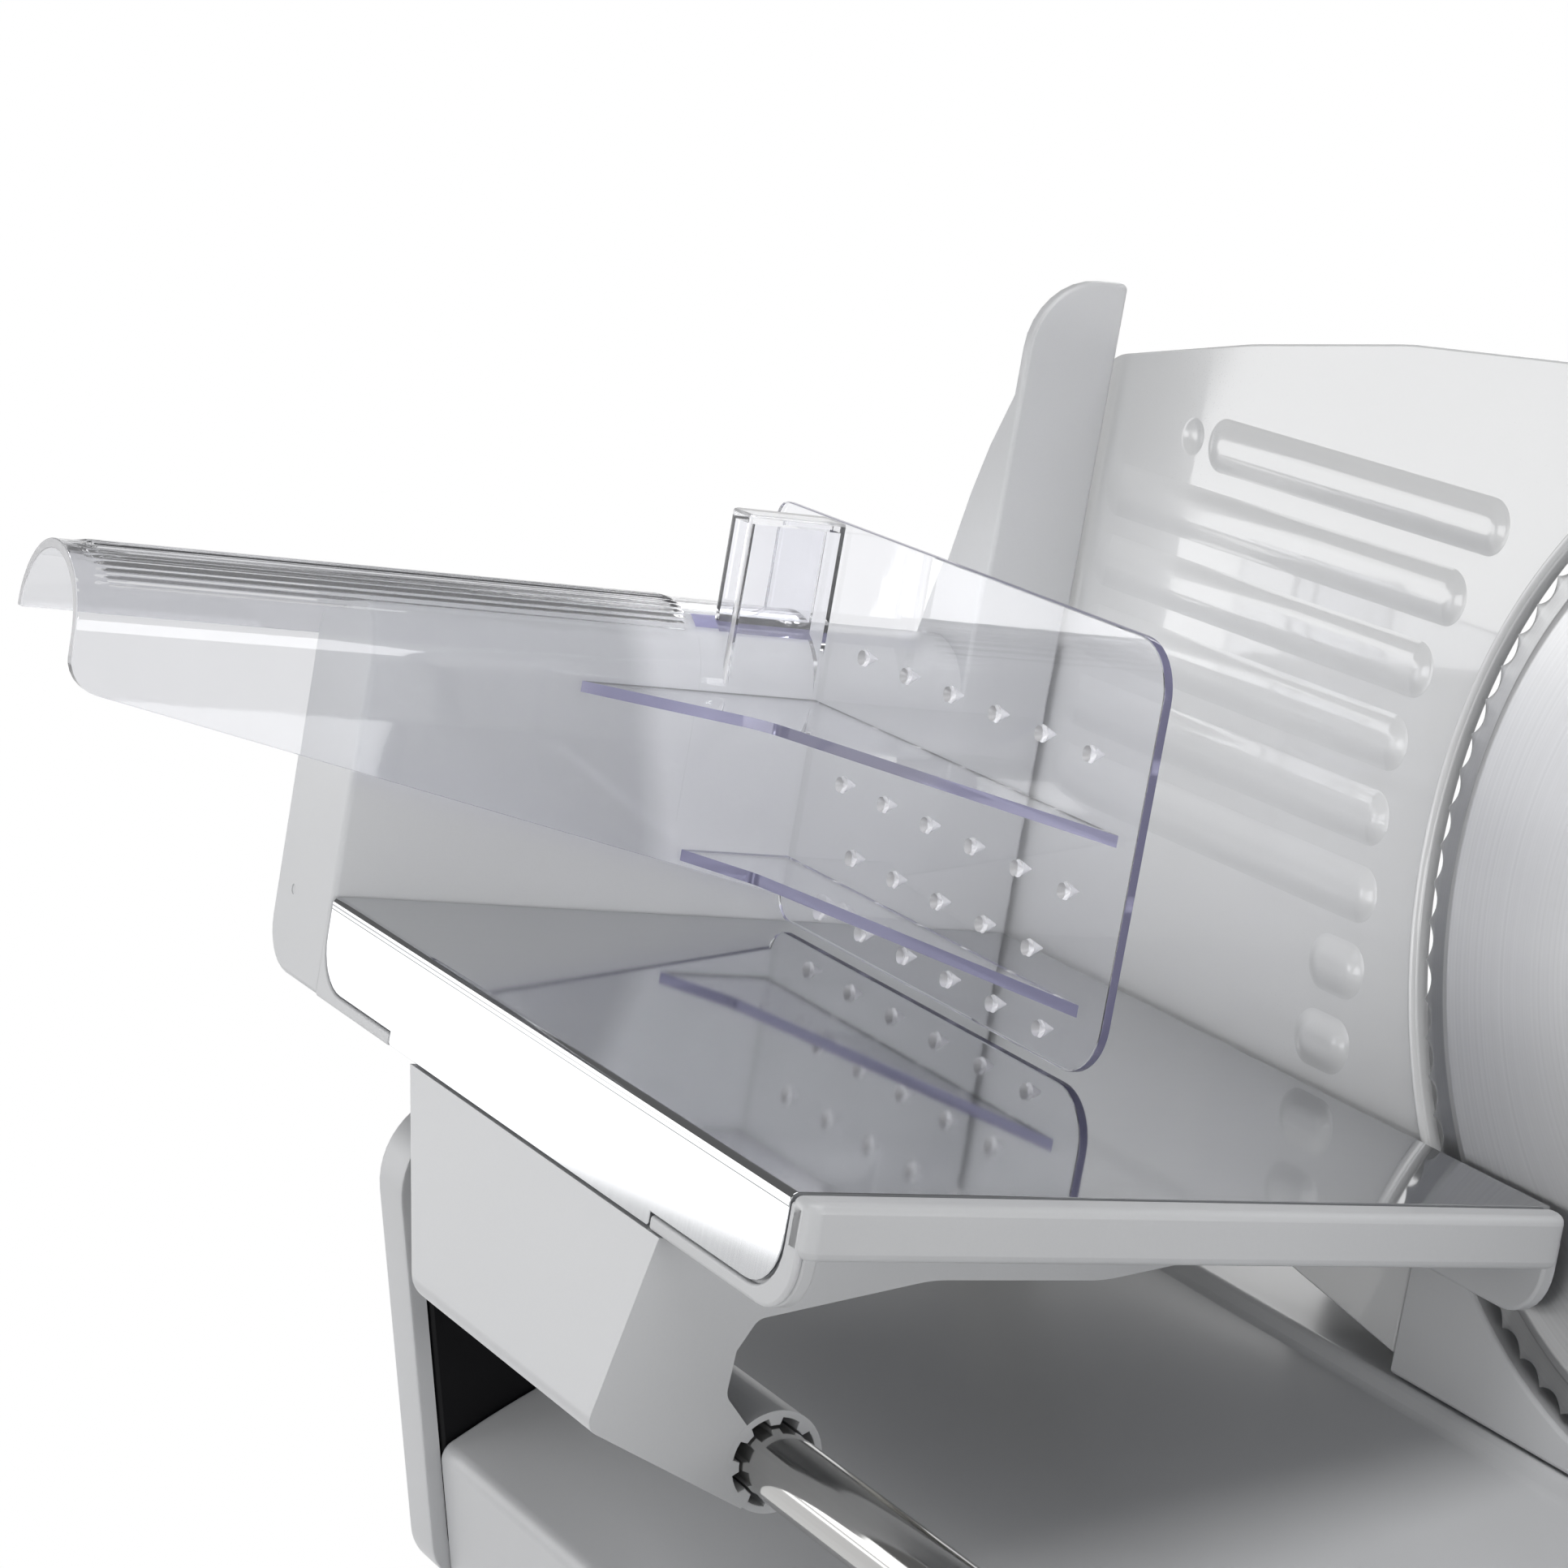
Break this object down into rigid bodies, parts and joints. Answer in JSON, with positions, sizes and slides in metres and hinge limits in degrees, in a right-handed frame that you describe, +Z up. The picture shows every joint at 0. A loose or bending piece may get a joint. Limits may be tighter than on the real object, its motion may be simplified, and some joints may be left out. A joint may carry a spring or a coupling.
{
  "type": "food slicer",
  "caption": "Electric food slicer: leaning tray carriage with a clear spiked pusher slides on a round rail past a scalloped disc blade and an adjustable thickness plate.",
  "frame": {"origin": "middle of the bounding box, on the worktop", "axes": "+X from the tray towards the motor, +Y along the carriage stroke away from the rail front end, +Z up"},
  "size_m": [0.3636, 0.3732, 0.2546],
  "materials": {
    "silver_plastic": "semi-gloss silver-grey moulding",
    "black_plastic": "satin black",
    "red_plastic": "gloss red",
    "clear_plastic": "clear, faint violet edge tint",
    "polished_steel": "polished stainless sheet",
    "chrome": "polished",
    "blade_steel": "brushed face, ground rim",
    "plate_aluminium": "satin",
    "nylon": "natural",
    "brass": "machined",
    "copper": "enamelled wire",
    "core_steel": "stacked laminations",
    "steel": "zinc plated",
    "rubber": "moulded"
  },
  "bodies": {
    "machine": {"base_housing": "silver_plastic", "base_plate": "silver_plastic", "foot_front_left": "rubber", "foot_rear_left": "rubber", "foot_front_right": "rubber", "foot_rear_right": "rubber", "rear_end_cap": "silver_plastic", "rear_end_panel": "black_plastic", "rear_rail_screw": "steel", "front_end_cap": "silver_plastic", "front_end_panel": "black_plastic", "front_rail_screw": "steel", "carriage_rail": "chrome", "knob_bush": "black_plastic", "gear_case": "silver_plastic", "blade_guard": "silver_plastic", "gear_cover": "silver_plastic", "idler_pin": "steel", "shaft_bush": "brass", "motor_stator": "core_steel", "front_coil": "copper", "rear_coil": "copper", "motor_front_bracket": "steel", "motor_rear_bracket": "steel", "motor_screw_1": "steel", "motor_screw_2": "steel", "guide_rod_1": "steel", "guide_rod_2": "steel", "rod_bracket": "silver_plastic", "motor_housing": "silver_plastic", "side_cover": "silver_plastic", "cover_screw_1": "steel", "cover_screw_2": "steel", "cover_screw_3": "steel", "cover_screw_4": "steel", "switch_body": "black_plastic", "cord_inlet": "rubber"},
    "carriage": {"tray_plate": "polished_steel", "carriage_frame": "silver_plastic", "carriage_arm": "silver_plastic", "carriage_glide": "nylon", "arm_screw_1": "steel", "arm_screw_2": "steel"},
    "pusher": {"food_pusher": "clear_plastic"},
    "plate": {"thickness_plate": "plate_aluminium", "plate_carrier": "nylon", "plate_screw_1": "steel", "plate_screw_2": "steel"},
    "knob": {"thickness_cam": "nylon", "thickness_knob": "black_plastic"},
    "blade": {"blade_gear": "nylon", "blade_shaft": "steel", "blade": "blade_steel", "blade_screw": "steel"},
    "idler": {"idler_gear": "nylon"},
    "rotor": {"motor_pinion": "brass", "motor_shaft": "steel", "rotor_core": "core_steel", "cooling_fan": "black_plastic"},
    "rocker": {"switch_rocker": "red_plastic"}
  },
  "joints": [
    {"name": "carriage_slide", "type": "slide", "parent": "machine", "child": "carriage", "axis": [0, 1, 0], "range_m": [-0.165, 0.006]},
    {"name": "pusher_slide", "type": "slide", "parent": "carriage", "child": "pusher", "axis": [0.9659, 0, -0.2588], "range_m": [-0.09, 0.035]},
    {"name": "knob_turn", "type": "hinge", "parent": "machine", "child": "knob", "pos_m": [0.08823, 0.06565, 0.06946], "axis": [0, -1, 0], "range_deg": [0, 300]},
    {"name": "plate_slide", "type": "slide", "parent": "machine", "child": "plate", "axis": [0.9659, 0, -0.2588], "range_m": [0, 0.015]},
    {"name": "motor_spin", "type": "hinge", "parent": "machine", "child": "rotor", "pos_m": [0.08082, -0.09239, 0.08817], "axis": [0.9659, 0, -0.2588], "continuous": true},
    {"name": "idler_spin", "type": "hinge", "parent": "machine", "child": "idler", "pos_m": [0.04605, -0.05128, 0.11298], "axis": [0.9659, 0, -0.2588], "continuous": true},
    {"name": "blade_spin", "type": "hinge", "parent": "machine", "child": "blade", "pos_m": [0.0404, -0.07315, 0.15371], "axis": [0.9659, 0, -0.2588], "continuous": true},
    {"name": "switch_rock", "type": "hinge", "parent": "machine", "child": "rocker", "pos_m": [0.11024, -0.01305, 0.135], "axis": [0.9659, 0, -0.2588], "range_deg": [0, 14]}
  ],
  "couplings": [
    {"joint": "knob_turn", "follows": "plate_slide", "rad_per_m": 349.07},
    {"joint": "idler_spin", "follows": "motor_spin", "ratio": -0.25},
    {"joint": "blade_spin", "follows": "motor_spin", "ratio": 0.0625}
  ]
}
